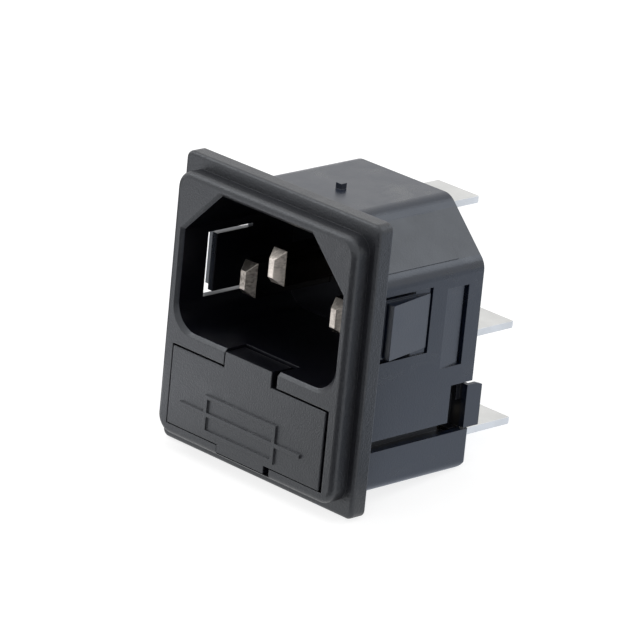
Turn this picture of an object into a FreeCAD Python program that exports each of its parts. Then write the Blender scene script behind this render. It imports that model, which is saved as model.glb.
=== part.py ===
import FreeCAD, Part
import math
import os

# Snap-in C14 appliance inlet with a one-fuse drawer, in millimetres.
# The frame: +X to the right seen from the front, +Y to the rear through the panel, +Z up.
# The origin is the centre of the panel seat, the rear face of the flange.

# ---- Flange: a thin plate with a thicker raised block in front of it ----
flange_width = 29.8
flange_height = 33.0
plate_thickness = 2.0
plate_corner_radius = 0.9
plate_edge_round = 0.45
block_thickness = 2.1
block_side_ledge = 1.1
block_end_ledge = 1.5
block_corner_radius = 2.0
block_edge_round = 0.7

# ---- Cavity that takes the connector ----
cavity_width = 24.5
cavity_height = 16.4
cavity_top_width = 14.0
cavity_bottom_radius = 3.0
cavity_depth = 17.0
cavity_center_z = 5.5
cavity_mouth_break = 0.4

# ---- Body behind the panel ----
side_wall = 0.95
chamfer_wall = 1.0
top_wall = 1.3
bend_radius = 2.0
body_bottom_step = 1.8
lower_extra_depth = 0.2
lower_side_round = 1.0
lower_rear_round = 1.5
lower_upright_round = 0.3
floor_thickness = 1.0

# ---- Pins and flat tabs ----
pin_thickness = 2.0
pin_height = 4.0
pin_pitch = 14.0
pin_drop = 2.0
earth_rise = 2.0
pin_length = 12.45
earth_pin_length = 15.35
pin_tip_length = 1.2
pin_tip_thickness = 0.8
pin_tip_height = 2.1
pin_slot_clearance = 0.05
tail_width = 1.2
tail_height = 3.0
tail_head_overlap = 0.3
tail_head_height = 0.35
tail_head_bevel = 0.2
metal_thickness = 0.8
tab_width = 6.3
tab_reach = 9.05
tab_tip_chamfer = 0.25
tab_tip_bevel = 0.12
tab_hole_diameter = 1.6
tab_hole_setback = 4.0
tab_bend_radius = 0.4
earth_tab_below_cavity_top = 1.94
neutral_tab_above_cavity_floor = 2.12
load_tab_above_bay_floor = 1.81
load_tab_x = 7.97

# ---- Fuse drawer and its bay ----
drawer_opening_half_width = 12.2
drawer_opening_top_z = -4.49
drawer_opening_bottom_z = -13.77
drawer_front_thickness = 2.9
drawer_gap = 0.25
drawer_bottom_gap = 0.06
drawer_shift = -0.19
drawer_corner_radius = 0.15
drawer_edge_round = 0.12
drawer_back_clearance = 0.3
lip_half_width = 3.62
lip_center_x = -0.38
lip_below_cavity = 0.25
lip_notch_half_width = 4.15
lug_left_gap = 0.06
lug_drop = 0.85
lug_gap = 0.18
bay_half_width = 11.2
bay_top_z = -4.6
bay_bottom_z = -13.3
tray_clearance = 0.3
tray_wall = 0.9
tray_rear_half_width = 9.6
tray_end_clearance = 0.5
tray_divider = 0.8
spare_length = 20.4
symbol_width = 11.15
symbol_height = 4.4
symbol_lead_span = 18.85
symbol_line = 0.45
symbol_relief = 0.2
symbol_center_x = -0.8
symbol_center_z = -10.8

# ---- Fuse, 5 x 20 mm, lying across the drawer ----
fuse_length = 20.0
fuse_cap_diameter = 5.2
fuse_cap_length = 5.0
fuse_cap_wall = 0.2
fuse_cap_end = 0.3
fuse_cap_bevel = 0.25
fuse_glass_diameter = 4.7
fuse_glass_wall = 0.45
fuse_glass_end_gap = 0.1
fuse_wire_diameter = 0.25
fuse_clearance = 0.1

# ---- Fuse contact springs ----
spring_thickness = 0.4
spring_bend_radius = 0.25
spring_width = 2.4
spring_gap = 0.12
spring_slot_clearance = 0.25
spring_foot_reach = 3.6
rivet_diameter = 1.6
rivet_head_diameter = 2.6
rivet_head_height = 0.4
rivet_head_bevel = 0.25
rivet_inset = 0.3
rivet_clearance = 0.03
link_half_width = 2.3
link_corner = 0.6
link_edge = 0.4

# ---- Snap latches on both sides ----
latch_recess_depth = 0.2
latch_recess_end_y = 8.95
latch_recess_top_z = 7.5
latch_recess_bottom_z = 0.07
latch_slit = 0.4
latch_slit_end_y = 6.5
latch_slit_sink = 0.15
latch_front_y = 1.2
latch_hold_y = 2.02
latch_proud = 1.1
latch_hook_inset = 0.25
latch_ramp_end_depth = 0.1
latch_groove_width = 0.24
latch_groove_depth = 0.55

# ---- Side features behind the latches ----
ramp_length = 2.9
ramp_depth = 0.3
lug_slot_setback = 0.2
lug_slot_width = 0.4
lug_slot_top_z = 6.9
lug_slot_bottom_z = -2.2
lug_depth = 0.6
groove_top_z = -8.77
groove_bottom_z = -10.05
groove_depth = 1.4
notch_lead = 0.6
notch_top_z = -4.47
nub_width = 0.8
nub_depth = 0.85
nub_height = 0.65
nub_y = 7.0
panel_high_inset = 1.1
panel_low_inset = 0.825
panel_end_setback = 3.4
panel_relief = 0.1
panel_root = 0.3

# ---- Rear carrier ----
carrier_thickness = 1.78
carrier_clearance = 0.12
rear_rim = 1.0
pocket_bottom_z = -12.3
pocket_corner_radius = 0.5
skirt_thickness = 0.8
lug_clearance = 0.08
fin_thickness = 0.5
fin_inset = 0.1
fin_root = 0.55
fin_reach = 1.75
fin_gap = 0.5
fin_bevel_length = 0.8
fin_bevel_height = 0.27
fin_web_width = 1.4
side_window_inner_x = 10.9
rib_width = 0.3
rib_below_notch_top = 2.4
tab_slot_clearance = 0.1
tail_relief = 0.2
foot_relief = 0.2

# ---- Cuts and joins ----
# A cut runs this far past the faces it opens, and joined pieces sink this far into each other.
past = 1.0
root = 0.5
# An edge this near to a plane counts as lying in it.
touch = 0.01

# ---- Sizes worked out from those above ----
front_y = -plate_thickness - block_thickness
flange_top_z = flange_height / 2
body_half_width = cavity_width / 2 + side_wall
cavity_top_z = cavity_center_z + cavity_height / 2
cavity_bottom_z = cavity_center_z - cavity_height / 2
cavity_chamfer = (cavity_width - cavity_top_width) / 2
body_top_z = cavity_top_z + top_wall
body_bottom_z = -flange_top_z + body_bottom_step
# The sloping walls of cavity and body are parallel: x + z is constant along each.
cavity_slope = cavity_width / 2 + cavity_top_z - cavity_chamfer
body_slope = cavity_slope + chamfer_wall * math.sqrt(2)
floor_y = front_y + cavity_depth
terminal_y = floor_y + floor_thickness
terminal_back_y = terminal_y + metal_thickness
carrier_front_y = terminal_back_y + carrier_clearance
body_depth = carrier_front_y + carrier_thickness
lower_end_y = body_depth + lower_extra_depth
notch_start_y = terminal_y - notch_lead
lug_slot_y = terminal_y + lug_slot_setback
ramp_start_y = lug_slot_y - ramp_length
panel_end_y = body_depth - panel_end_setback
tab_end_y = body_depth + tab_reach
pin_x = pin_pitch / 2
pin_z = cavity_center_z - pin_drop
earth_z = cavity_center_z + earth_rise
earth_tab_z = cavity_top_z - earth_tab_below_cavity_top
neutral_tab_z = cavity_bottom_z + neutral_tab_above_cavity_floor
load_tab_z = bay_bottom_z + load_tab_above_bay_floor
pocket_half_width = body_half_width - rear_rim
pocket_top_z = body_top_z - top_wall
pocket_slope = body_slope - rear_rim * math.sqrt(2)
drawer_half_width = drawer_opening_half_width - drawer_gap
drawer_top_z = drawer_opening_top_z - drawer_gap
drawer_bottom_z = drawer_opening_bottom_z + drawer_bottom_gap
drawer_back_y = front_y + drawer_front_thickness
recess_back_y = drawer_back_y + drawer_back_clearance
tray_top_z = bay_top_z - tray_clearance
tray_bottom_z = bay_bottom_z + tray_clearance
tray_end_y = floor_y - tray_end_clearance
fuse_space = fuse_cap_diameter + 2 * fuse_clearance
fuse_y = tray_end_y - tray_wall - fuse_space / 2
fuse_z = tray_bottom_z + tray_wall + fuse_space / 2
spring_inner_x = fuse_length / 2 - drawer_shift + spring_gap
spring_outer_x = spring_inner_x + spring_thickness
spring_back_y = terminal_back_y + spring_thickness
spring_front_y = fuse_y - fuse_cap_diameter / 2
rivet_x = spring_inner_x - spring_foot_reach / 2 - rivet_inset
link_inner_x = pin_x - link_half_width
fin_start_y = body_depth - fin_root
fin_end_y = body_depth + fin_reach


def box(x0, x1, y0, y1, z0, z1):
    corner = FreeCAD.Vector(x0, y0, z0)
    return Part.makeBox(x1 - x0, y1 - y0, z1 - z0, corner)


def outline(corners):
    """Closed outline in a plane from (u, v, radius) corners, with tangent arcs at the corners."""
    count = len(corners)
    stops = []
    for i in range(count):
        u, v, radius = corners[i]
        here = FreeCAD.Vector(u, v, 0)
        before = FreeCAD.Vector(corners[i - 1][0], corners[i - 1][1], 0) - here
        after = FreeCAD.Vector(corners[(i + 1) % count][0], corners[(i + 1) % count][1], 0) - here
        before.normalize()
        after.normalize()
        if radius <= 0:
            stops.append((here, None, here))
            continue
        half = before.getAngle(after) / 2
        bisector = before + after
        bisector.normalize()
        reach = radius / math.tan(half)
        middle = here + bisector * (radius / math.sin(half) - radius)
        stops.append((here + before * reach, middle, here + after * reach))
    edges = []
    for i in range(count):
        start, middle, end = stops[i]
        if middle is not None:
            edges.append(Part.Arc(start, middle, end).toShape())
        following = stops[(i + 1) % count][0]
        if (following - end).Length > 1e-6:
            edges.append(Part.LineSegment(end, following).toShape())
    return Part.Wire(edges)


def prism_along_y(corners, y0, y1):
    """Outline given as (x, z, radius), extruded from y0 to y1."""
    wire = outline([(x, z, r) for x, z, r in corners])
    face = Part.Face(wire)
    face.rotate(FreeCAD.Vector(0, 0, 0), FreeCAD.Vector(1, 0, 0), 90)
    face.translate(FreeCAD.Vector(0, y0, 0))
    return face.extrude(FreeCAD.Vector(0, y1 - y0, 0))


def prism_along_z(corners, z0, z1):
    """Outline given as (x, y, radius), extruded from z0 to z1."""
    face = Part.Face(outline(corners))
    face.translate(FreeCAD.Vector(0, 0, z0))
    return face.extrude(FreeCAD.Vector(0, 0, z1 - z0))


def prism_along_x(corners, x0, x1):
    """Outline given as (y, z, radius), extruded from x0 to x1."""
    face = Part.Face(outline(corners))
    placing = FreeCAD.Matrix(0, 0, 1, x0, 1, 0, 0, 0, 0, 1, 0, 0)
    face = face.transformGeometry(placing)
    return face.extrude(FreeCAD.Vector(x1 - x0, 0, 0))


def rectangle(half_width, z0, z1, radius, center_x=0.0):
    left = center_x - half_width
    right = center_x + half_width
    return [(left, z0, radius), (right, z0, radius), (right, z1, radius), (left, z1, radius)]


def cylinder_along(axis, start, radius, length):
    return Part.makeCylinder(radius, length, FreeCAD.Vector(*start), FreeCAD.Vector(*axis))


def edges_where(shape, test):
    return [edge for edge in shape.Edges if test(edge.BoundBox)]


def mirrored(shape):
    """The same shape on the other side of the X = 0 plane."""
    return shape.mirror(FreeCAD.Vector(0, 0, 0), FreeCAD.Vector(1, 0, 0))


def save(name, shape):
    shape = shape.removeSplitter()
    shape.exportStep("parts/" + name + ".step")
    print(name, shape.isValid(), len(shape.Solids), round(shape.Volume, 2), len(shape.Faces))


# ---- Housing ----
def flange():
    half_width = flange_width / 2
    plate_outline = rectangle(half_width, -flange_top_z, flange_top_z, plate_corner_radius)
    plate = prism_along_y(plate_outline, -plate_thickness, 0)
    front_rim = edges_where(plate, lambda b: b.YMax < -plate_thickness + touch)
    plate = plate.makeFillet(plate_edge_round, front_rim)
    block_top_z = flange_top_z - block_end_ledge
    block_half_width = half_width - block_side_ledge
    block_outline = rectangle(block_half_width, -block_top_z, block_top_z, block_corner_radius)
    block = prism_along_y(block_outline, front_y, -plate_thickness / 2)
    front_rim = edges_where(block, lambda b: b.YMax < front_y + touch)
    block = block.makeFillet(block_edge_round, front_rim)
    return plate.fuse(block)


def sloped_section(half_width, bottom_z, top_z, slope, bend, bottom_radius):
    """Section with a flat top, two sloping shoulders and upright sides."""
    top_x = slope - top_z
    side_z = slope - half_width
    return [
        (-half_width, bottom_z, bottom_radius),
        (half_width, bottom_z, bottom_radius),
        (half_width, side_z, bend),
        (top_x, top_z, bend),
        (-top_x, top_z, bend),
        (-half_width, side_z, bend),
    ]


def body_block():
    start_y = -plate_thickness / 2
    upper = prism_along_y(
        sloped_section(body_half_width, groove_bottom_z - root, body_top_z, body_slope, bend_radius, 0),
        start_y, body_depth)
    # The lower housing is what three rounded outlines share: from behind, from the side and from above.
    from_behind = prism_along_y(
        [(-body_half_width, body_bottom_z, lower_side_round),
         (body_half_width, body_bottom_z, lower_side_round),
         (body_half_width, groove_bottom_z, 0),
         (-body_half_width, groove_bottom_z, 0)],
        start_y, lower_end_y)
    from_side = prism_along_x(
        [(start_y, body_bottom_z, 0),
         (lower_end_y, body_bottom_z, lower_rear_round),
         (lower_end_y, groove_bottom_z, 0),
         (start_y, groove_bottom_z, 0)],
        -body_half_width, body_half_width)
    from_above = prism_along_z(
        [(-body_half_width, start_y, 0),
         (body_half_width, start_y, 0),
         (body_half_width, lower_end_y, lower_upright_round),
         (-body_half_width, lower_end_y, lower_upright_round)],
        body_bottom_z, groove_bottom_z)
    lower = from_behind.common(from_side).common(from_above)
    return upper.fuse(lower)


def cavity_section(growth):
    """Section of the connector cavity, grown outward by growth."""
    half_width = cavity_width / 2 + growth
    top_z = cavity_top_z + growth
    slope = cavity_slope + growth * math.sqrt(2)
    return sloped_section(half_width, cavity_bottom_z - growth, top_z, slope, 0, cavity_bottom_radius)


def cavity_mouth():
    """Bevel round the cavity's mouth, a loft between the section and a grown one."""
    inner = prism_along_y(cavity_section(0), front_y + cavity_mouth_break, front_y + past)
    outer = prism_along_y(cavity_section(cavity_mouth_break), front_y, front_y + past)
    inner_wire = lowest_wire(inner)
    outer_wire = lowest_wire(outer)
    return Part.makeLoft([outer_wire, inner_wire], True, True)


def lowest_wire(prism):
    faces = sorted(prism.Faces, key=lambda face: face.CenterOfMass.y)
    return faces[0].OuterWire


def drawer_recess():
    """Front recess with its lip and lug notches, and the bay behind it."""
    opening = rectangle(drawer_opening_half_width, drawer_opening_bottom_z, drawer_opening_top_z,
                        drawer_corner_radius)
    front = prism_along_y(opening, front_y, recess_back_y)
    lip_notch = box(-lip_notch_half_width, lip_notch_half_width, front_y, recess_back_y,
                    drawer_opening_top_z - past, cavity_bottom_z + past)
    lug_notch = box(-lip_notch_half_width, lip_notch_half_width, front_y, recess_back_y,
                    drawer_bottom_z - lug_drop - lug_gap, drawer_opening_bottom_z + past)
    bay = box(-bay_half_width, bay_half_width, front_y, floor_y, bay_bottom_z, bay_top_z)
    return front.fuse([lip_notch, lug_notch, bay])


def rear_pocket(shrink, y0, y1):
    """Room behind the floor for the terminals, shrunk by a clearance for the carrier that fills it."""
    slope = pocket_slope - shrink * math.sqrt(2)
    section = sloped_section(pocket_half_width - shrink, pocket_bottom_z + shrink, pocket_top_z - shrink,
                             slope, bend_radius - rear_rim, pocket_corner_radius)
    return prism_along_y(section, y0, y1)


def pin_slot(x, z):
    half_width = pin_thickness / 2 + pin_slot_clearance
    half_height = pin_height / 2 + pin_slot_clearance
    return box(x - half_width, x + half_width, floor_y - root, terminal_y + root,
               z - half_height, z + half_height)


def spring_slot():
    """Slot through the floor beside the bay for the right contact spring."""
    half_height = spring_width / 2 + spring_slot_clearance
    inner_x = spring_inner_x - spring_slot_clearance
    return box(inner_x, bay_half_width, floor_y - root, terminal_y + root,
               fuse_z - half_height, fuse_z + half_height)


def latch_cut():
    """Side recess and the through slits round the right latch tongue."""
    floor_x = body_half_width - latch_recess_depth
    beyond = body_half_width + past
    inside = cavity_width / 2 - past
    low_z = latch_recess_bottom_z
    high_z = latch_recess_top_z
    recess = box(floor_x, beyond, 0, latch_recess_end_y, low_z, high_z)
    front_slit = box(inside, beyond, 0, latch_front_y, low_z, high_z)
    # Inside the body's outline the front slit runs a little into the flange, so the panel seat stops there.
    sink = box(inside, body_half_width, -latch_slit_sink, latch_front_y, low_z, high_z)
    low_slit = box(inside, beyond, 0, latch_slit_end_y, low_z, low_z + latch_slit)
    high_slit = box(inside, beyond, 0, latch_slit_end_y, high_z - latch_slit, high_z)
    rear_groove = box(body_half_width - latch_groove_depth, beyond,
                      latch_recess_end_y - latch_groove_width, latch_recess_end_y, low_z, high_z)
    return recess.fuse([front_slit, sink, low_slit, high_slit, rear_groove])


def latch_wedge():
    """Hook on the right tongue: a face that bears behind the panel and a ramp down to the rear."""
    root_x = body_half_width - side_wall / 2
    ramp_end_y = latch_recess_end_y - latch_groove_width
    profile = [
        (root_x, latch_front_y, 0),
        (body_half_width - latch_recess_depth, latch_front_y, 0),
        (body_half_width, latch_hold_y, 0),
        (body_half_width + latch_proud, latch_hold_y, 0),
        (body_half_width - latch_ramp_end_depth, ramp_end_y, 0),
        (root_x, ramp_end_y, 0),
    ]
    inset = latch_slit + latch_hook_inset
    return prism_along_z(profile, latch_recess_bottom_z + inset, latch_recess_top_z - inset)


def side_ramp_cut():
    """Ramped pocket behind the right latch, ending in the slot for the carrier's lug."""
    slot_end_y = lug_slot_y + lug_slot_width
    beyond = body_half_width + past
    deep_x = body_half_width - ramp_depth
    profile = [
        (body_half_width, ramp_start_y, 0),
        (beyond, ramp_start_y, 0),
        (beyond, slot_end_y, 0),
        (deep_x, slot_end_y, 0),
        (deep_x, lug_slot_y, 0),
    ]
    ramp = prism_along_z(profile, lug_slot_bottom_z, lug_slot_top_z)
    slot = box(pocket_half_width - past, beyond, lug_slot_y, slot_end_y,
               lug_slot_bottom_z, lug_slot_top_z)
    return ramp.fuse(slot)


def side_groove():
    return box(body_half_width - groove_depth, body_half_width + past, 0, notch_start_y + root,
               groove_bottom_z, groove_top_z)


def load_notch():
    """Opening in the right side, low at the rear, beside the load terminal."""
    return box(bay_half_width - root, body_half_width + past, notch_start_y, lower_end_y + past,
               groove_bottom_z, notch_top_z)


def shoulder_panel():
    """Shallow panel raised on the right sloping shoulder."""
    low_x = body_half_width - panel_low_inset
    high_x = body_slope - body_top_z + panel_high_inset
    rise = panel_relief / math.sqrt(2)
    profile = [
        (low_x - panel_root, body_slope - low_x - panel_root, 0),
        (low_x + rise, body_slope - low_x + rise, 0),
        (high_x + rise, body_slope - high_x + rise, 0),
        (high_x - panel_root, body_slope - high_x - panel_root, 0),
    ]
    return prism_along_y(profile, 0, panel_end_y)


def nub():
    return box(-nub_width / 2, nub_width / 2, nub_y - nub_depth / 2, nub_y + nub_depth / 2,
               body_top_z - root, body_top_z + nub_height)


def housing():
    panel = shoulder_panel()
    shape = flange().fuse(body_block()).fuse([nub(), panel, mirrored(panel)])
    cavity = prism_along_y(cavity_section(0), front_y, floor_y)
    cuts = [cavity, cavity_mouth(), drawer_recess(), rear_pocket(0, terminal_y, lower_end_y + past)]
    cuts += [pin_slot(-pin_x, pin_z), pin_slot(pin_x, pin_z), pin_slot(0, earth_z), load_notch()]
    for cut in (latch_cut(), side_ramp_cut(), side_groove(), spring_slot()):
        cuts += [cut, mirrored(cut)]
    for cut in cuts:
        shape = shape.cut(cut)
    wedge = latch_wedge()
    return shape.fuse([wedge, mirrored(wedge)])


# ---- Pins ----
def upright_face(x, z, half_width, half_height, y):
    """Rectangle square to Y, as a wire for a loft."""
    corners = [(-half_width, -half_height), (half_width, -half_height), (half_width, half_height),
               (-half_width, half_height), (-half_width, -half_height)]
    return Part.makePolygon([FreeCAD.Vector(x + u, y, z + v) for u, v in corners])


def pin(x, z, length):
    """Blade pin with a tapered tip, and a thinner tail riveted over behind the terminal."""
    tip_y = floor_y - length
    full_y = tip_y + pin_tip_length
    half_width = pin_thickness / 2
    half_height = pin_height / 2
    tip_wire = upright_face(x, z, pin_tip_thickness / 2, pin_tip_height / 2, tip_y)
    full_wire = upright_face(x, z, half_width, half_height, full_y)
    tip = Part.makeLoft([tip_wire, full_wire], True, True)
    blade = box(x - half_width, x + half_width, full_y, terminal_y, z - half_height, z + half_height)
    tail = box(x - tail_width / 2, x + tail_width / 2,
               terminal_y - root, terminal_back_y + tail_head_height / 2,
               z - tail_height / 2, z + tail_height / 2)
    head = box(x - tail_width / 2 - tail_head_overlap, x + tail_width / 2 + tail_head_overlap,
               terminal_back_y, terminal_back_y + tail_head_height,
               z - tail_height / 2 - tail_head_overlap, z + tail_height / 2 + tail_head_overlap)
    rim = edges_where(head, lambda b: b.YMin > terminal_back_y + tail_head_height - touch)
    head = head.makeChamfer(tail_head_bevel, rim)
    return blade.fuse([tip, tail, head])


def tail_hole(x, z):
    half_width = tail_width / 2 + pin_slot_clearance
    half_height = tail_height / 2 + pin_slot_clearance
    return box(x - half_width, x + half_width, terminal_y - past, terminal_back_y + past,
               z - half_height, z + half_height)


# ---- Terminals ----
def flat_tab(x, z):
    """Flat tab that leaves the rear, with cut corners, bevelled end and a locking hole."""
    half_width = tab_width / 2
    end_y = tab_end_y
    profile = [
        (x - half_width, terminal_back_y, 0),
        (x + half_width, terminal_back_y, 0),
        (x + half_width, end_y - tab_tip_chamfer, 0),
        (x + half_width - tab_tip_chamfer / 2, end_y, 0),
        (x - half_width + tab_tip_chamfer / 2, end_y, 0),
        (x - half_width, end_y - tab_tip_chamfer, 0),
    ]
    half_thickness = metal_thickness / 2
    tab = prism_along_z(profile, z - half_thickness, z + half_thickness)
    end = edges_where(tab, lambda b: b.YMin > end_y - touch and b.XLength > half_width)
    tab = tab.makeChamfer(tab_tip_bevel, end)
    hole_start = (x, end_y - tab_hole_setback, z - past)
    hole = cylinder_along((0, 0, 1), hole_start, tab_hole_diameter / 2, 2 * past)
    return tab.cut(hole)


def folded_terminal(tab_x, tab_z, plate_left, plate_right, plate_end_z):
    """Upright plate against the floor, bent to the rear into a flat tab."""
    up = 1 if plate_end_z > tab_z else -1
    far_z = tab_z - up * metal_thickness / 2
    inner = tab_bend_radius
    outer = tab_bend_radius + metal_thickness
    bend_end_y = terminal_back_y + inner
    profile = [
        (terminal_y, far_z, outer),
        (bend_end_y + root, far_z, 0),
        (bend_end_y + root, tab_z + up * metal_thickness / 2, 0),
        (terminal_back_y, tab_z + up * metal_thickness / 2, inner),
        (terminal_back_y, tab_z + up * (outer + root), 0),
        (terminal_y, tab_z + up * (outer + root), 0),
    ]
    half_width = tab_width / 2
    bend = prism_along_x(profile, tab_x - half_width, tab_x + half_width)
    low_z = min(tab_z + up * outer, plate_end_z)
    high_z = max(tab_z + up * outer, plate_end_z)
    plate = box(plate_left, plate_right, terminal_y, terminal_back_y, low_z, high_z)
    tab = flat_tab(tab_x, tab_z).cut(
        box(tab_x - tab_width, tab_x + tab_width, 0, bend_end_y, tab_z - past, tab_z + past))
    return bend.fuse([plate, tab])


def earth_terminal():
    plate_end_z = earth_z - pin_height / 2
    half_width = tab_width / 2
    shape = folded_terminal(0, earth_tab_z, -half_width, half_width, plate_end_z)
    return shape.cut(tail_hole(0, earth_z))


def neutral_terminal():
    plate_end_z = pin_z + pin_height / 2
    half_width = tab_width / 2
    shape = folded_terminal(pin_x, neutral_tab_z, pin_x - half_width, pin_x + half_width, plate_end_z)
    return shape.cut(tail_hole(pin_x, pin_z))


def rivet_hole(x):
    radius = rivet_diameter / 2 + rivet_clearance
    length = metal_thickness + spring_thickness + 2 * past
    return cylinder_along((0, 1, 0), (x, terminal_y - past, fuse_z), radius, length)


def plate_outer_x():
    """Edge of the terminal plates beside the contact springs."""
    return spring_inner_x - spring_slot_clearance


def load_terminal():
    plate_end_z = fuse_z + spring_width
    left = load_tab_x - tab_width / 2
    shape = folded_terminal(load_tab_x, load_tab_z, left, plate_outer_x(), plate_end_z)
    # The blank is cut back beside the spring's arm, down to the tab.
    relief_z = fuse_z - spring_width / 2 - spring_slot_clearance / 2
    relief = box(plate_outer_x(), load_tab_x + tab_width, terminal_y - past, body_depth,
                 relief_z, plate_end_z + past)
    return shape.cut(relief.fuse(rivet_hole(rivet_x)))


def line_link():
    """Flat link from the line pin down to the left fuse contact."""
    low_z = fuse_z - spring_width / 2 - link_edge
    high_z = pin_z + pin_height / 2
    profile = [
        (-plate_outer_x(), low_z, link_corner),
        (-link_inner_x, low_z, link_corner),
        (-link_inner_x, high_z, link_corner),
        (-plate_outer_x(), high_z, link_corner),
    ]
    plate = prism_along_y(profile, terminal_y, terminal_back_y)
    return plate.cut(tail_hole(-pin_x, pin_z).fuse(rivet_hole(-rivet_x)))


# ---- Contact springs and their rivets ----
def contact_spring():
    """Right spring: a foot riveted behind the terminal and an arm that reaches the fuse cap."""
    half_width = spring_width / 2
    foot_end_x = spring_inner_x - spring_foot_reach
    profile = [
        (foot_end_x, terminal_back_y, 0),
        (spring_inner_x, terminal_back_y, spring_bend_radius),
        (spring_inner_x, spring_front_y, 0),
        (spring_outer_x, spring_front_y, 0),
        (spring_outer_x, spring_back_y, spring_bend_radius + spring_thickness),
        (foot_end_x, spring_back_y, 0),
    ]
    strip = prism_along_z(profile, fuse_z - half_width, fuse_z + half_width)
    return strip.cut(rivet_hole(rivet_x))


def contact_rivet():
    """Rivet through foot and terminal, flush at the front and headed behind."""
    length = metal_thickness + spring_thickness
    shank = cylinder_along((0, 1, 0), (rivet_x, terminal_y, fuse_z), rivet_diameter / 2, length)
    head = cylinder_along((0, 1, 0), (rivet_x, spring_back_y, fuse_z),
                          rivet_head_diameter / 2, rivet_head_height)
    rim = edges_where(head, lambda b: b.YMin > spring_back_y + rivet_head_height - touch)
    head = head.makeChamfer(rivet_head_bevel, rim)
    return shank.fuse(head)


# ---- Rear carrier ----
def tab_slot(x, z):
    half_width = tab_width / 2 + tab_slot_clearance
    half_height = metal_thickness / 2 + tab_slot_clearance
    return box(x - half_width, x + half_width, carrier_front_y - past, body_depth + past,
               z - half_height, z + half_height)


def bend_relief(x, z, up):
    """Room in the carrier's front face for the inside of a terminal's bend."""
    half_width = tab_width / 2 + tab_slot_clearance
    reach = tab_bend_radius + tab_slot_clearance
    edge_z = z + up * (metal_thickness / 2 + reach)
    return box(x - half_width, x + half_width, carrier_front_y - past, terminal_back_y + reach,
               min(z, edge_z), max(z, edge_z))


def tail_pocket(x, z):
    """Room in the carrier's front face for a pin's riveted tail."""
    half_width = tail_width / 2 + tail_head_overlap + tail_relief
    half_height = tail_height / 2 + tail_head_overlap + tail_relief
    return box(x - half_width, x + half_width, carrier_front_y - past,
               terminal_back_y + tail_head_height + tail_relief, z - half_height, z + half_height)


def spring_pocket():
    """Room in the carrier's front face for the right spring's foot and rivet."""
    half_height = spring_width / 2 + foot_relief
    foot = box(spring_inner_x - spring_foot_reach - foot_relief, spring_outer_x + foot_relief,
               carrier_front_y - past, spring_back_y + foot_relief,
               fuse_z - half_height, fuse_z + half_height)
    length = spring_back_y + rivet_head_height + foot_relief - carrier_front_y + past
    head = cylinder_along((0, 1, 0), (rivet_x, carrier_front_y - past, fuse_z),
                          rivet_head_diameter / 2 + foot_relief, length)
    return foot.fuse(head)


def side_window():
    """Cut-back beside the load notch that leaves a thin upright rib in its upper half."""
    outer_x = pocket_half_width + past
    high_z = notch_top_z + past
    window = box(side_window_inner_x, outer_x, carrier_front_y - past, fin_start_y,
                 groove_bottom_z, high_z)
    rib = box(pocket_half_width - carrier_clearance - rib_width, outer_x,
              fin_start_y - 2 * rib_width, fin_start_y,
              notch_top_z - rib_below_notch_top, high_z)
    return window.cut(rib)


def carrier_skirt():
    """Right side wall that reaches forward beside the terminals, with its snap lug."""
    outer_x = pocket_half_width - carrier_clearance
    low_z = lug_slot_bottom_z + lug_clearance
    high_z = lug_slot_top_z - lug_clearance
    wall = box(outer_x - skirt_thickness, outer_x, terminal_y + carrier_clearance, carrier_front_y + root,
               low_z, high_z)
    lug_start_y = lug_slot_y + lug_clearance
    lug_end_y = lug_slot_y + lug_slot_width - lug_clearance
    lug = box(outer_x - skirt_thickness / 2, body_half_width - lug_depth, lug_start_y, lug_end_y,
              low_z, high_z)
    return wall.fuse(lug)


def carrier_fin():
    """Barrier that stands out behind the rear face beside the load tab."""
    outer_x = body_half_width - fin_inset
    low_z = groove_bottom_z + carrier_clearance
    high_z = notch_top_z - fin_gap
    profile = [
        (fin_start_y, low_z, 0),
        (fin_end_y, low_z, 0),
        (fin_end_y, high_z - fin_bevel_height, 0),
        (fin_end_y - fin_bevel_length, high_z, 0),
        (fin_start_y, high_z, 0),
    ]
    fin = prism_along_x(profile, outer_x - fin_thickness, outer_x)
    web_end_x = outer_x - fin_thickness / 2
    web = box(web_end_x - fin_web_width, web_end_x, fin_start_y, body_depth, low_z, high_z)
    return fin.fuse(web)


def rear_carrier():
    shape = rear_pocket(carrier_clearance, carrier_front_y, body_depth).cut(side_window())
    skirt = carrier_skirt()
    shape = shape.fuse([skirt, mirrored(skirt), carrier_fin()])
    cuts = [tab_slot(0, earth_tab_z), tab_slot(pin_x, neutral_tab_z), tab_slot(load_tab_x, load_tab_z)]
    cuts += [bend_relief(0, earth_tab_z, -1), bend_relief(pin_x, neutral_tab_z, 1),
             bend_relief(load_tab_x, load_tab_z, 1)]
    cuts += [tail_pocket(0, earth_z), tail_pocket(pin_x, pin_z), tail_pocket(-pin_x, pin_z)]
    pocket = spring_pocket()
    cuts += [pocket, mirrored(pocket)]
    for cut in cuts:
        shape = shape.cut(cut)
    return shape


# ---- Fuse drawer ----
def drawer_front():
    plate = prism_along_y(
        rectangle(drawer_half_width, drawer_bottom_z, drawer_top_z, drawer_corner_radius, drawer_shift),
        front_y, drawer_back_y)
    front_rim = edges_where(plate, lambda b: b.YMax < front_y + touch)
    plate = plate.makeFillet(drawer_edge_round, front_rim)
    left = lip_center_x - lip_half_width
    right = lip_center_x + lip_half_width
    lip_top_z = cavity_bottom_z - lip_below_cavity
    lip = box(left, right, front_y, drawer_back_y, drawer_top_z - past, lip_top_z)
    lug = box(lug_left_gap - lip_notch_half_width, right, front_y, drawer_back_y,
              drawer_bottom_z - lug_drop, drawer_bottom_z + past)
    return plate.fuse([lip, lug])


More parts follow.
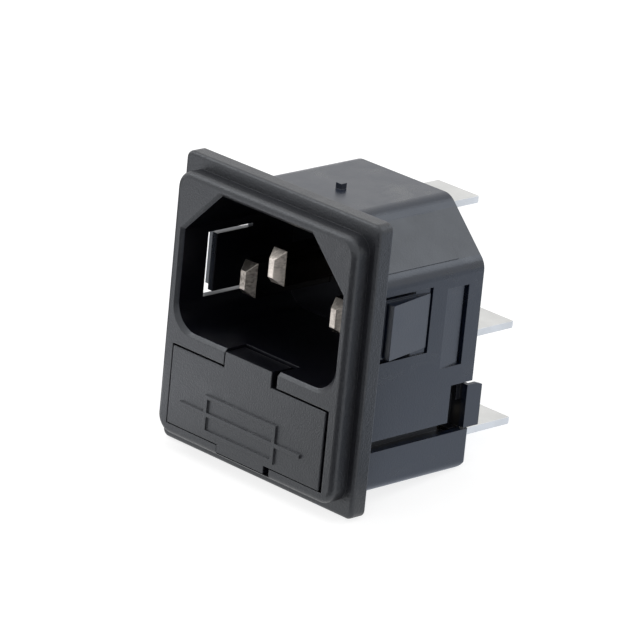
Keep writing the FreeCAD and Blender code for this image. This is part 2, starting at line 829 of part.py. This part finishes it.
def fuse_symbol():
    """Raised fuse symbol: a frame with a line through it and out at both ends."""
    half_width = symbol_width / 2
    half_height = symbol_height / 2
    line = symbol_line
    center_z = symbol_center_z
    back_y = front_y + root
    face_y = front_y - symbol_relief
    frame = box(-half_width, half_width, face_y, back_y,
                center_z - half_height, center_z + half_height)
    frame = frame.cut(box(-half_width + line, half_width - line, face_y - past, back_y + past,
                          center_z - half_height + line, center_z + half_height - line))
    lead = box(-symbol_lead_span / 2, symbol_lead_span / 2, face_y, back_y,
               center_z - line / 2, center_z + line / 2)
    symbol = frame.fuse(lead)
    symbol.translate(FreeCAD.Vector(symbol_center_x, 0, 0))
    return symbol


def tray():
    """Box behind the front: a spare compartment ahead of the cradle for the live fuse."""
    front_half_width = bay_half_width - tray_clearance + drawer_shift
    cradle_start_y = fuse_y - fuse_space / 2 - tray_divider
    wide = box(-front_half_width, front_half_width, drawer_back_y - root, cradle_start_y + tray_divider,
               tray_bottom_z, tray_top_z)
    narrow = box(-tray_rear_half_width, tray_rear_half_width, cradle_start_y, tray_end_y,
                 tray_bottom_z, tray_top_z)
    shape = wide.fuse(narrow)
    shape = shape.cut(box(-spare_length / 2, spare_length / 2, drawer_back_y, cradle_start_y,
                          tray_bottom_z + tray_wall, tray_top_z + past))
    # The live fuse lies in a round-bottomed channel that is open at both ends for the contacts.
    radius = fuse_space / 2
    channel = cylinder_along((1, 0, 0), (-bay_half_width, fuse_y, fuse_z), radius, 2 * bay_half_width)
    mouth = box(-bay_half_width, bay_half_width, fuse_y - radius, fuse_y + radius,
                fuse_z, tray_top_z + past)
    shape = shape.cut(channel.fuse(mouth))
    shape.translate(FreeCAD.Vector(drawer_shift, 0, 0))
    return shape


def fuse_drawer():
    return drawer_front().fuse([tray(), fuse_symbol()])


# ---- Fuse ----
def fuse_cap(side):
    """Metal cup on one end of the fuse, side is 1 for right and -1 for left."""
    end_x = fuse_length / 2
    cup = cylinder_along((1, 0, 0), (end_x - fuse_cap_length, fuse_y, fuse_z),
                         fuse_cap_diameter / 2, fuse_cap_length)
    rim = edges_where(cup, lambda b: b.XMin > end_x - touch)
    cup = cup.makeChamfer(fuse_cap_bevel, rim)
    bore_radius = fuse_cap_diameter / 2 - fuse_cap_wall
    bore = cylinder_along((1, 0, 0), (end_x - fuse_cap_length - past, fuse_y, fuse_z), bore_radius,
                          fuse_cap_length - fuse_cap_end + past)
    cup = cup.cut(bore)
    if side < 0:
        cup = mirrored(cup)
    cup.translate(FreeCAD.Vector(drawer_shift, 0, 0))
    return cup


def fuse_glass():
    half_length = fuse_length / 2 - fuse_cap_end - fuse_glass_end_gap
    start = (drawer_shift - half_length, fuse_y, fuse_z)
    tube = cylinder_along((1, 0, 0), start, fuse_glass_diameter / 2, 2 * half_length)
    bore = cylinder_along((1, 0, 0), start, fuse_glass_diameter / 2 - fuse_glass_wall, 2 * half_length)
    return tube.cut(bore)


def fuse_wire():
    half_length = fuse_length / 2 - fuse_cap_end
    start = (drawer_shift - half_length, fuse_y, fuse_z)
    return cylinder_along((1, 0, 0), start, fuse_wire_diameter / 2, 2 * half_length)


def main():
    os.makedirs("parts", exist_ok=True)
    save("housing", housing())
    save("rear_carrier", rear_carrier())
    save("line_pin", pin(-pin_x, pin_z, pin_length))
    save("neutral_pin", pin(pin_x, pin_z, pin_length))
    save("earth_pin", pin(0, earth_z, earth_pin_length))
    save("earth_terminal", earth_terminal())
    save("neutral_terminal", neutral_terminal())
    save("load_terminal", load_terminal())
    save("line_link", line_link())
    spring = contact_spring()
    save("load_contact_spring", spring)
    save("line_contact_spring", mirrored(spring))
    rivet = contact_rivet()
    save("load_contact_rivet", rivet)
    save("line_contact_rivet", mirrored(rivet))
    save("fuse_drawer", fuse_drawer())
    save("fuse_cap_right", fuse_cap(1))
    save("fuse_cap_left", fuse_cap(-1))
    save("fuse_glass", fuse_glass())
    save("fuse_wire", fuse_wire())


main()
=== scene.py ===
"""Looks of the snap-in power inlet: plastics, plated metals and glass, on a pale table."""
import math

import bpy
from mathutils import Matrix, Vector

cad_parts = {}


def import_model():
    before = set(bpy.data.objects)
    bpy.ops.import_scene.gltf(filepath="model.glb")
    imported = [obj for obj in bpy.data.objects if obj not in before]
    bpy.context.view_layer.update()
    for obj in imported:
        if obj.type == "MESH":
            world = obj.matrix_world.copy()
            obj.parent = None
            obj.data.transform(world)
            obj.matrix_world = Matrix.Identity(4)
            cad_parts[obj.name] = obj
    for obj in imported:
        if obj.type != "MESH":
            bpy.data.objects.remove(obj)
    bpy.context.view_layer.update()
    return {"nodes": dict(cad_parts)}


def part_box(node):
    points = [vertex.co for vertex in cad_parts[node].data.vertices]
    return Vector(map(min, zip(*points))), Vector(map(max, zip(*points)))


MM = 0.001

# Camera: where it stands round the part, how far off, and the point it looks at.
CAMERA_AZIMUTH = 44.07
CAMERA_ELEVATION = 19.12
CAMERA_ROLL = 5.62
CAMERA_DISTANCE = 544.2 * MM
CAMERA_AIM = Vector((5.55, 0.04, 2.96)) * MM
CAMERA_LENS = 287.9
SENSOR_WIDTH = 36.0

# The part leans back until the flange's lower edge and the body's lower rear edge both touch the table.
LEAN = math.radians(6.67)
TABLE_SIZE = 1.6
TABLE_GAP = 0.02 * MM

# Plastics: near-black base colours whose tone comes from what they reflect.
CHARCOAL = (0.0080, 0.0083, 0.0110, 1.0)
# Painted shade: the inside of the cavity and the drawer's recess, darker than the moulding to stand in for the
# shade there.
CAVITY_PAINTED_SHADE = (0.0024, 0.0024, 0.0050, 1.0)
# Painted cool light: the same moulding made bluer behind the flange, standing in for the cool light the body's
# sides reflect.
SLATE_PAINTED_COOL_LIGHT = (0.0035, 0.0070, 0.0180, 1.0)
# Lighter plastic for handling wear, also used as painted highlight along the moulded edges.
WEAR_AND_EDGE_HIGHLIGHT = (0.030, 0.031, 0.036, 1.0)
PLASTIC_IOR = 1.66
# Painted reflection tint: reflections turned bluish to stand in for the cool light around the part.
PAINTED_COOL_SHEEN_TINT = (0.90, 0.945, 1.0, 1.0)
GRAIN_DEPTH = 0.06 * MM
CARRIER_GRAIN_DEPTH = 0.002 * MM
BACK_GRAIN_SHARE = 0.25
EDGE_RADIUS = 0.06 * MM
MOUTH_EDGE_RADIUS = 0.16 * MM
MASK_BLUR = 0.2 * MM

# Room behind the front face and inside the flange's outline: the connector cavity and the drawer's recess,
# whose inside is painted dark as shade.
INNER_START_Y = -3.75 * MM
INNER_HALF_WIDTH = 12.4 * MM
INNER_TOP_Z = 13.9 * MM
INNER_BOTTOM_Z = -14.2 * MM

# Metals. The pins' blades are burnished, and their tapered tips are left rough by the coining tool.
NICKEL = (0.62, 0.57, 0.52, 1.0)
TIN = (0.70, 0.70, 0.685, 1.0)
SPRING_BRONZE = (0.70, 0.60, 0.45, 1.0)
RIVET_BRASS = (0.82, 0.66, 0.38, 1.0)
CAP_NICKEL = (0.76, 0.75, 0.72, 1.0)
FUSE_WIRE = (0.72, 0.72, 0.72, 1.0)
STRIP_EDGE_RADIUS = 0.06 * MM
PIN_EDGE_RADIUS = 0.10 * MM
ROLLING_MARK_DEPTH = 0.0003 * MM
COINING_MARK_DEPTH = 0.02 * MM
PIN_TIP_LENGTH = 1.2 * MM
PIN_TIP_BLUR = 0.15 * MM
BURNISHED_ROUGHNESS = 0.07

# Strengths of the white surroundings: on matt surfaces, and of the table where it is seen or mirrored.
AMBIENT = 0.5
TABLE_GLOW = 0.80
TABLE_TONE = (0.42, 0.42, 0.42, 1.0)

BLACK = (0.0, 0.0, 0.0, 1.0)
WHITE = (1.0, 1.0, 1.0, 1.0)


# ---- Small helpers for node trees ----
def link(tree, output, target):
    tree.links.new(output, target)


def feed(tree, value, socket):
    """Sets a plain number or colour on the socket, and links anything else to it."""
    if isinstance(value, (int, float, tuple)):
        socket.default_value = value
    else:
        link(tree, value, socket)


def math_node(tree, operation, first, second=None, third=None, clamp=False):
    node = tree.nodes.new("ShaderNodeMath")
    node.operation = operation
    node.use_clamp = clamp
    for socket, value in zip(node.inputs, (first, second, third)):
        if value is not None:
            feed(tree, value, socket)
    return node.outputs[0]


def mix_node(tree, data_type, kind, factor, first, second):
    node = tree.nodes.new("ShaderNodeMix")
    node.data_type = data_type
    sockets = {socket.identifier: socket for socket in node.inputs}
    feed(tree, factor, sockets["Factor_Float"])
    feed(tree, first, sockets["A_" + kind])
    feed(tree, second, sockets["B_" + kind])
    return next(socket for socket in node.outputs if socket.identifier == "Result_" + kind)


def mix_color(tree, factor, first, second):
    return mix_node(tree, "RGBA", "Color", factor, first, second)


def mix_value(tree, factor, first, second):
    return mix_node(tree, "FLOAT", "Float", factor, first, second)


def ranged(tree, value, low, high, new_low, new_high):
    node = tree.nodes.new("ShaderNodeMapRange")
    link(tree, value, node.inputs["Value"])
    for name, number in (("From Min", low), ("From Max", high), ("To Min", new_low), ("To Max", new_high)):
        node.inputs[name].default_value = number
    return node.outputs["Result"]


def part_point(tree):
    """The shaded point in the part's own frame, in metres."""
    return tree.nodes.new("ShaderNodeTexCoord").outputs["Object"]


def part_axes(tree):
    """The shaded point's X, Y and Z in the part's own frame."""
    split = tree.nodes.new("ShaderNodeSeparateXYZ")
    link(tree, part_point(tree), split.inputs["Vector"])
    return split.outputs


def drawn_out_point(tree, stretch):
    """The shaded point with its depth squeezed, which draws a pattern out along the part's depth."""
    squeeze = tree.nodes.new("ShaderNodeCombineXYZ")
    squeeze.inputs["X"].default_value = 1.0
    squeeze.inputs["Z"].default_value = 1.0
    link(tree, stretch, squeeze.inputs["Y"])
    scaled = tree.nodes.new("ShaderNodeVectorMath")
    scaled.operation = "MULTIPLY"
    link(tree, part_point(tree), scaled.inputs[0])
    link(tree, squeeze.outputs["Vector"], scaled.inputs[1])
    return scaled.outputs["Vector"]


def noise(tree, point, scale, detail=2.0, roughness=0.5, distortion=0.0):
    node = tree.nodes.new("ShaderNodeTexNoise")
    link(tree, point, node.inputs["Vector"])
    feed(tree, scale, node.inputs["Scale"])
    node.inputs["Detail"].default_value = detail
    node.inputs["Roughness"].default_value = roughness
    node.inputs["Distortion"].default_value = distortion
    return node.outputs["Fac"]


def new_group(name, inputs, outputs):
    """Node group with named inputs (name, default) and outputs (name, socket kind)."""
    group = bpy.data.node_groups.new(name, "ShaderNodeTree")
    for label, default in inputs:
        kind = "NodeSocketColor" if isinstance(default, tuple) else "NodeSocketFloat"
        socket = group.interface.new_socket(label, in_out="INPUT", socket_type=kind)
        socket.default_value = default
    for label, kind in outputs:
        group.interface.new_socket(label, in_out="OUTPUT", socket_type=kind)
    entry = group.nodes.new("NodeGroupInput")
    leave = group.nodes.new("NodeGroupOutput")
    return group, entry, leave


def place_group(tree, group, **values):
    """Places a group and feeds its inputs; an underscore in a key stands for a space in the input's name."""
    node = tree.nodes.new("ShaderNodeGroup")
    node.node_tree = group
    for key, value in values.items():
        feed(tree, value, node.inputs[key.replace("_", " ")])
    return node


# ---- Effects that several materials share ----
def soft_edge_group():
    """Rounded normal for moulded edges, and a mask that is 1 on those edges and 0 on flats; the materials
    paint edge highlights with the mask.
    """
    group, entry, leave = new_group(
        "soft_edge", [("Radius", EDGE_RADIUS), ("Gain", 2.0)],
        [("Normal", "NodeSocketVector"), ("Mask", "NodeSocketFloat")])
    bevel = group.nodes.new("ShaderNodeBevel")
    bevel.samples = 6
    link(group, entry.outputs["Radius"], bevel.inputs["Radius"])
    geometry = group.nodes.new("ShaderNodeNewGeometry")
    dot = group.nodes.new("ShaderNodeVectorMath")
    dot.operation = "DOT_PRODUCT"
    link(group, bevel.outputs["Normal"], dot.inputs[0])
    link(group, geometry.outputs["Normal"], dot.inputs[1])
    turned = math_node(group, "SUBTRACT", 1.0, dot.outputs["Value"])
    mask = math_node(group, "MULTIPLY", turned, entry.outputs["Gain"], clamp=True)
    link(group, bevel.outputs["Normal"], leave.inputs["Normal"])
    link(group, mask, leave.inputs["Mask"])
    return group


def grain_group():
    """Fine moulded grain: a height for bump and a mottle for colour and roughness."""
    group, entry, leave = new_group(
        "moulded_grain", [("Grain Scale", 4600.0), ("Mottle Scale", 330.0)],
        [("Height", "NodeSocketFloat"), ("Mottle", "NodeSocketFloat")])
    point = part_point(group)
    fine = noise(group, point, entry.outputs["Grain Scale"], detail=3.0, roughness=0.6)
    coarse = noise(group, point, entry.outputs["Mottle Scale"], detail=4.0, roughness=0.55)
    link(group, fine, leave.inputs["Height"])
    link(group, coarse, leave.inputs["Mottle"])
    return group


def scuff_group():
    """Sparse handling marks: 1 where moulded plastic has been rubbed, drawn out along the part's depth."""
    group, entry, leave = new_group(
        "handling_marks", [("Mark Scale", 420.0), ("Stretch", 0.4)], [("Mark", "NodeSocketFloat")])
    point = drawn_out_point(group, entry.outputs["Stretch"])
    cloud = noise(group, point, entry.outputs["Mark Scale"], detail=6.0, roughness=0.7, distortion=0.6)
    link(group, ranged(group, cloud, 0.54, 0.72, 0.0, 1.0), leave.inputs["Mark"])
    return group


def brushed_group():
    """Rolling marks along a strip as a height, and a cloud for its colour and roughness."""
    group, entry, leave = new_group(
        "rolling_marks", [("Line Scale", 9000.0), ("Stretch", 0.03)],
        [("Height", "NodeSocketFloat"), ("Streak", "NodeSocketFloat")])
    lines = noise(group, drawn_out_point(group, entry.outputs["Stretch"]), entry.outputs["Line Scale"])
    cloud = noise(group, part_point(group), 500.0, detail=3.0)
    link(group, lines, leave.inputs["Height"])
    link(group, cloud, leave.inputs["Streak"])
    return group


# ---- Materials ----
def new_material(name):
    material = bpy.data.materials.new(name)
    material.use_nodes = True
    tree = material.node_tree
    return material, tree, tree.nodes["Principled BSDF"]


def add_bump(tree, shader, height, distance, normal):
    """Bump of the given height on top of the rounded normal."""
    bump = tree.nodes.new("ShaderNodeBump")
    bump.inputs["Distance"].default_value = distance
    link(tree, height, bump.inputs["Height"])
    link(tree, normal, bump.inputs["Normal"])
    link(tree, bump.outputs["Normal"], shader.inputs["Normal"])


def scaled_color(color, factor):
    return tuple(min(1.0, factor * channel) for channel in color[:3]) + (1.0,)


def depth_mask(tree, edge_y, blur):
    """0 in front of edge_y and 1 behind it, along the part's depth."""
    return ranged(tree, part_axes(tree)["Y"], edge_y - blur / 2, edge_y + blur / 2, 0.0, 1.0)


def inner_masks(tree):
    """Two masks: 1 over all of the cavity and the drawer, and 1 only behind the front face there, where shade
    is painted in.
    """
    axes = part_axes(tree)
    half = math_node(tree, "ABSOLUTE", axes["X"])
    between = math_node(tree, "LESS_THAN", half, INNER_HALF_WIDTH)
    below = math_node(tree, "LESS_THAN", axes["Z"], INNER_TOP_Z)
    above = math_node(tree, "GREATER_THAN", axes["Z"], INNER_BOTTOM_Z)
    zone = math_node(tree, "MULTIPLY", between, below)
    zone = math_node(tree, "MULTIPLY", zone, above)
    behind = depth_mask(tree, INNER_START_Y, MASK_BLUR)
    return zone, math_node(tree, "MULTIPLY", zone, behind)


def moulded_plastic(name, groups, front, back, split_y, grain_depth):
    """Black moulding, grained in front of split_y and smoother behind it.

    front and back are (colour, roughness).
    """
    material, tree, shader = new_material(name)
    grain = place_group(tree, groups["grain"], Grain_Scale=4600.0, Mottle_Scale=330.0)
    scuffs = place_group(tree, groups["scuff"], Mark_Scale=420.0, Stretch=0.4)
    zone, inner = inner_masks(tree)
    behind = math_node(tree, "MAXIMUM", depth_mask(tree, split_y, MASK_BLUR), inner)
    mouth = math_node(tree, "SUBTRACT", zone, inner)
    radius = ranged(tree, mouth, 0.0, 1.0, EDGE_RADIUS, MOUTH_EDGE_RADIUS)
    edges = place_group(tree, groups["edge"], Radius=radius, Gain=2.2)

    mottle = ranged(tree, grain.outputs["Mottle"], 0.35, 0.65, 0.0, 1.0)
    # Behind split_y the tone turns to the back colour, which for the housing and carrier is painted bluer as
    # cool light.
    plain_tone = mix_color(tree, behind, front[0], back[0])
    pale_tone = mix_color(tree, behind, scaled_color(front[0], 1.25), scaled_color(back[0], 1.2))
    tone = mix_color(tree, mottle, plain_tone, pale_tone)
    # Painted shade: the cavity and the drawer's recess take the dark painted-shade colour.
    tone = mix_color(tree, inner, tone, CAVITY_PAINTED_SHADE)
    outside = math_node(tree, "SUBTRACT", 1.0, inner)
    scuffed = math_node(tree, "MULTIPLY", scuffs.outputs["Mark"], outside)
    # Handling wear from the scuff marks, plus painted highlight along the edges from the edge mask.
    wear_and_edge_highlight = math_node(tree, "MULTIPLY", edges.outputs["Mask"], 0.2)
    wear_and_edge_highlight = math_node(tree, "MULTIPLY_ADD", scuffed, 0.3, wear_and_edge_highlight, clamp=True)
    tone = mix_color(tree, wear_and_edge_highlight, tone, WEAR_AND_EDGE_HIGHLIGHT)
    link(tree, tone, shader.inputs["Base Color"])

    rough = ranged(tree, behind, 0.0, 1.0, front[1], back[1])
    rough = math_node(tree, "MULTIPLY_ADD", mottle, 0.05, rough)
    rough = math_node(tree, "MULTIPLY_ADD", scuffed, -0.06, rough)
    link(tree, rough, shader.inputs["Roughness"])
    shader.inputs["IOR"].default_value = PLASTIC_IOR
    # Painted reflection tint: bluish reflections for the cool light around the part.
    shader.inputs["Specular Tint"].default_value = PAINTED_COOL_SHEEN_TINT

    fade = ranged(tree, behind, 0.0, 1.0, 1.0, BACK_GRAIN_SHARE)
    height = math_node(tree, "MULTIPLY", grain.outputs["Height"], fade)
    add_bump(tree, shader, height, grain_depth, edges.outputs["Normal"])
    return material


def plated_metal(name, groups, color, rough, streak):
    """Plated strip or wire with rolling marks, cloudy roughness and painted highlights on its edges."""
    material, tree, shader = new_material(name)
    marks = place_group(tree, groups["brushed"], Line_Scale=9000.0, Stretch=0.03)
    edges = place_group(tree, groups["edge"], Radius=STRIP_EDGE_RADIUS, Gain=2.5)
    cloud = ranged(tree, marks.outputs["Streak"], 0.3, 0.7, 0.0, 1.0)
    tone = mix_color(tree, cloud, color, scaled_color(color, 1.0 - streak))
    # Painted highlight: the edges are made brighter than the strip.
    tone = mix_color(tree, edges.outputs["Mask"], tone, scaled_color(color, 1.1))
    link(tree, tone, shader.inputs["Base Color"])
    shader.inputs["Metallic"].default_value = 1.0
    link(tree, ranged(tree, cloud, 0.0, 1.0, rough, rough + 0.1), shader.inputs["Roughness"])
    add_bump(tree, shader, marks.outputs["Height"], ROLLING_MARK_DEPTH, edges.outputs["Normal"])
    return material


def plated_pin(name, groups, color, tip_y):
    """Nickel pin: a burnished blade behind a coined tip that is rough, scored and blotchy; the blade is
    painted darker as shade inside the cavity, and the edges carry painted highlights.
    """
    material, tree, shader = new_material(name)
    marks = place_group(tree, groups["brushed"], Line_Scale=4200.0, Stretch=0.30)
    edges = place_group(tree, groups["edge"], Radius=PIN_EDGE_RADIUS, Gain=2.5)
    blade = depth_mask(tree, tip_y + PIN_TIP_LENGTH, PIN_TIP_BLUR)
    blotch = ranged(tree, marks.outputs["Streak"], 0.38, 0.62, 0.0, 1.0)
    score = ranged(tree, marks.outputs["Height"], 0.35, 0.65, 0.0, 1.0)
    dark_tip = mix_color(tree, blotch, scaled_color(color, 0.50), scaled_color(color, 0.92))
    tip_tone = mix_color(tree, score, dark_tip, scaled_color(color, 1.12))
    # Painted shade: the blade behind the tip is darkened, for the shade inside the cavity.
    tone = mix_color(tree, blade, tip_tone, scaled_color(color, 0.55))
    # Painted highlight: brighter edges.
    tone = mix_color(tree, edges.outputs["Mask"], tone, scaled_color(color, 1.15))
    link(tree, tone, shader.inputs["Base Color"])
    shader.inputs["Metallic"].default_value = 1.0
    tip_rough = ranged(tree, blotch, 0.0, 1.0, 0.46, 0.30)
    link(tree, mix_value(tree, blade, tip_rough, BURNISHED_ROUGHNESS), shader.inputs["Roughness"])
    height = mix_value(tree, blade, marks.outputs["Height"], 0.5)
    add_bump(tree, shader, height, COINING_MARK_DEPTH, edges.outputs["Normal"])
    return material


def clear_glass(name):
    material, tree, shader = new_material(name)
    shader.inputs["Base Color"].default_value = (0.95, 0.98, 0.97, 1.0)
    shader.inputs["Transmission Weight"].default_value = 1.0
    shader.inputs["IOR"].default_value = 1.5
    haze = noise(tree, part_point(tree), 900.0)
    link(tree, ranged(tree, haze, 0.3, 0.7, 0.02, 0.08), shader.inputs["Roughness"])
    return material


def build_materials():
    """Every node of the part with its finish."""
    groups = {
        "edge": soft_edge_group(), "grain": grain_group(),
        "scuff": scuff_group(), "brushed": brushed_group(),
    }
    # The back colour is the moulding painted bluer, standing in for the cool light on the body's sides and the
    # carrier.
    front, satin, smooth = (CHARCOAL, 0.32), (SLATE_PAINTED_COOL_LIGHT, 0.32), (SLATE_PAINTED_COOL_LIGHT, 0.28)
    housing = moulded_plastic("housing_plastic", groups, front, smooth, 0.0, GRAIN_DEPTH)
    drawer = moulded_plastic("drawer_plastic", groups, front, satin, INNER_START_Y, GRAIN_DEPTH)
    carrier = moulded_plastic("carrier_plastic", groups, satin, satin, 0.0, CARRIER_GRAIN_DEPTH)
    # Painted shade: the line and neutral pins get a darker copy of the nickel than the earth pin, for the less
    # light they catch.
    shaded_side_pin = plated_pin("side_pin_nickel", groups, scaled_color(NICKEL, 0.80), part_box("line_pin")[0][1])
    earth_pin = plated_pin("earth_pin_nickel", groups, scaled_color(NICKEL, 0.94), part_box("earth_pin")[0][1])
    tin = plated_metal("tin_plate", groups, TIN, 0.28, 0.08)
    bronze = plated_metal("spring_bronze", groups, SPRING_BRONZE, 0.28, 0.14)
    brass = plated_metal("rivet_brass", groups, RIVET_BRASS, 0.26, 0.14)
    cap = plated_metal("fuse_cap_metal", groups, CAP_NICKEL, 0.20, 0.10)
    wire = plated_metal("fuse_wire", groups, FUSE_WIRE, 0.35, 0.10)
    glass = clear_glass("fuse_glass")
    return {
        "housing": housing, "fuse_drawer": drawer, "rear_carrier": carrier,
        "line_pin": shaded_side_pin, "neutral_pin": shaded_side_pin, "earth_pin": earth_pin,
        "earth_terminal": tin, "neutral_terminal": tin, "load_terminal": tin, "line_link": tin,
        "load_contact_spring": bronze, "line_contact_spring": bronze,
        "load_contact_rivet": brass, "line_contact_rivet": brass,
        "fuse_cap_right": cap, "fuse_cap_left": cap, "fuse_glass": glass, "fuse_wire": wire,
    }


def dress_nodes(nodes):
    for name, material in build_materials().items():
        for slot in nodes[name].material_slots:
            slot.material = material


# ---- Table, lights and camera ----
def table_normal():
    """Upright of the table in the part's frame: the part leans back by LEAN."""
    return Vector((0.0, -math.sin(LEAN), math.cos(LEAN)))


def flat_sheet(name, corners, material):
    mesh = bpy.data.meshes.new(name)
    mesh.from_pydata(corners, [], [(0, 1, 2, 3)])
    mesh.materials.append(material)
    sheet = bpy.data.objects.new(name, mesh)
    bpy.context.scene.collection.objects.link(sheet)
    return sheet


def seen_rays(tree):
    """1 for rays that see, mirror or look through to a surface, and 0 for those that light matt ones."""
    rays = tree.nodes.new("ShaderNodeLightPath")
    seen = math_node(tree, "MAXIMUM", rays.outputs["Is Camera Ray"], rays.outputs["Is Glossy Ray"])
    return math_node(tree, "MAXIMUM", seen, rays.outputs["Is Transmission Ray"])


def make_table():
    """Pale table under the leaning part, through the flange's lower rear edge."""
    low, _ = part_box("housing")
    up = table_normal()
    across = Vector((1.0, 0.0, 0.0))
    along = up.cross(across)
    touch = Vector((0.0, 0.0, low[2])) - up * TABLE_GAP
    half = TABLE_SIZE / 2
    signs = ((-1, -1), (1, -1), (1, 1), (-1, 1))
    corners = [touch + across * half * u + along * half * v for u, v in signs]
    material, tree, shader = new_material("table_white")
    shader.inputs["Base Color"].default_value = TABLE_TONE
    shader.inputs["Roughness"].default_value = 0.9
    shader.inputs["Specular IOR Level"].default_value = 0.0
    shader.inputs["Emission Color"].default_value = WHITE
    glow = math_node(tree, "MULTIPLY", seen_rays(tree), TABLE_GLOW)
    link(tree, glow, shader.inputs["Emission Strength"])
    table = flat_sheet("table", corners, material)


def make_world():
    """White surroundings: full where they are seen or mirrored, AMBIENT where they light the part."""
    world = bpy.data.worlds.new("studio")
    bpy.context.scene.world = world
    world.use_nodes = True
    tree = world.node_tree
    background = tree.nodes["Background"]
    background.inputs["Color"].default_value = WHITE
    lit = ranged(tree, seen_rays(tree), 0.0, 1.0, AMBIENT, 1.0)
    link(tree, lit, background.inputs["Strength"])


def way_to(azimuth, elevation):
    """Unit vector from the part towards an azimuth and elevation in degrees; azimuth 0 is the front."""
    a = math.radians(azimuth)
    e = math.radians(elevation)
    return Vector((math.sin(a) * math.cos(e), -math.cos(a) * math.cos(e), math.sin(e)))


def add_softbox(name, azimuth, elevation, distance, size, radiance, color=(1.0, 1.0, 1.0)):
    """Square softbox aimed at the part; radiance 1 looks as bright as a white background."""
    way = way_to(azimuth, elevation)
    data = bpy.data.lights.new(name, "AREA")
    data.size = size
    data.energy = radiance * math.pi * size * size
    data.color = color
    lamp = bpy.data.objects.new(name, data)
    lamp.location = way * distance
    lamp.rotation_euler = way.to_track_quat("Z", "Y").to_euler()
    bpy.context.scene.collection.objects.link(lamp)


def add_reflector(name, start_x, azimuth, near, far, glow, rank=1):
    """Card flat on the table that only reflections see.

    It starts from start_x on the flange's lower edge and runs towards the azimuth. near and far are
    (distance, half width) of its two ends. A card of higher rank lies over one of lower rank.
    """
    low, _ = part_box("housing")
    way = way_to(azimuth, 0.0)
    up = table_normal()
    along = (way - up * way.dot(up)).normalized()
    across = along.cross(up)
    start = Vector((start_x, 0.0, low[2])) + up * (TABLE_GAP * rank)
    ends = ((near, -1), (near, 1), (far, 1), (far, -1))
    corners = [start + along * distance + across * (side * half) for (distance, half), side in ends]
    material, tree, shader = new_material(name)
    shader.inputs["Base Color"].default_value = BLACK
    shader.inputs["Specular IOR Level"].default_value = 0.0
    shader.inputs["Emission Color"].default_value = glow + (1.0,)
    shader.inputs["Emission Strength"].default_value = 1.0
    card = flat_sheet(name, corners, material)
    card.visible_camera = False
    card.visible_diffuse = False
    card.visible_shadow = False


def make_lights():
    add_softbox("key_softbox", azimuth=-63, elevation=43, distance=0.50, size=0.24, radiance=2.4)
    add_softbox("rear_softbox", azimuth=154, elevation=38, distance=0.50, size=0.20, radiance=1.55,
                color=(0.88, 0.93, 1.0))
    add_softbox("top_softbox", azimuth=-20, elevation=80, distance=0.55, size=0.30, radiance=1.5)
    # Seen only in reflections: a cool stretch of table at the right rear and a bright one at the front
    # left, with dim ones beside them that darken the flange's rounded edges and its right side.
    add_reflector("cool_card", start_x=-36 * MM, azimuth=136, near=(30 * MM, 34 * MM),
                  far=(325 * MM, 34 * MM), glow=(0.93, 0.99, 1.10))
    add_reflector("plate_card", start_x=17.5 * MM, azimuth=128, near=(4 * MM, 4 * MM),
                  far=(300 * MM, 44 * MM), glow=(0.26, 0.29, 0.33))
    add_reflector("front_card", start_x=11.5 * MM, azimuth=20, near=(9 * MM, 6 * MM),
                  far=(300 * MM, 370 * MM), glow=(0.10, 0.10, 0.11))
    add_reflector("side_card", start_x=-15 * MM, azimuth=-95, near=(4 * MM, 5 * MM),
                  far=(300 * MM, 180 * MM), glow=(0.15, 0.15, 0.16))
    add_reflector("left_card", start_x=-17 * MM, azimuth=-44, near=(8 * MM, 10 * MM),
                  far=(300 * MM, 50 * MM), glow=(1.72, 1.72, 1.76), rank=2)


def make_camera():
    """Camera aimed at CAMERA_AIM from its azimuth and elevation, rolled about its own axis."""
    roll = math.radians(CAMERA_ROLL)
    back = way_to(CAMERA_AZIMUTH, CAMERA_ELEVATION)
    level_right = Vector((0.0, 0.0, 1.0)).cross(back).normalized()
    level_up = back.cross(level_right)
    right = level_right * math.cos(roll) + level_up * math.sin(roll)
    up = level_up * math.cos(roll) - level_right * math.sin(roll)
    data = bpy.data.cameras.new("camera")
    data.lens = CAMERA_LENS
    data.sensor_width = SENSOR_WIDTH
    data.clip_start = 0.01
    camera = bpy.data.objects.new("camera", data)
    turn = Matrix((right, up, back)).transposed()
    camera.matrix_world = Matrix.Translation(CAMERA_AIM + back * CAMERA_DISTANCE) @ turn.to_4x4()
    bpy.context.scene.collection.objects.link(camera)
    bpy.context.scene.camera = camera


def main():
    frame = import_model()
    dress_nodes(frame["nodes"])
    make_table()
    make_world()
    make_lights()
    make_camera()
    bpy.context.scene.view_settings.view_transform = "Standard"


main()
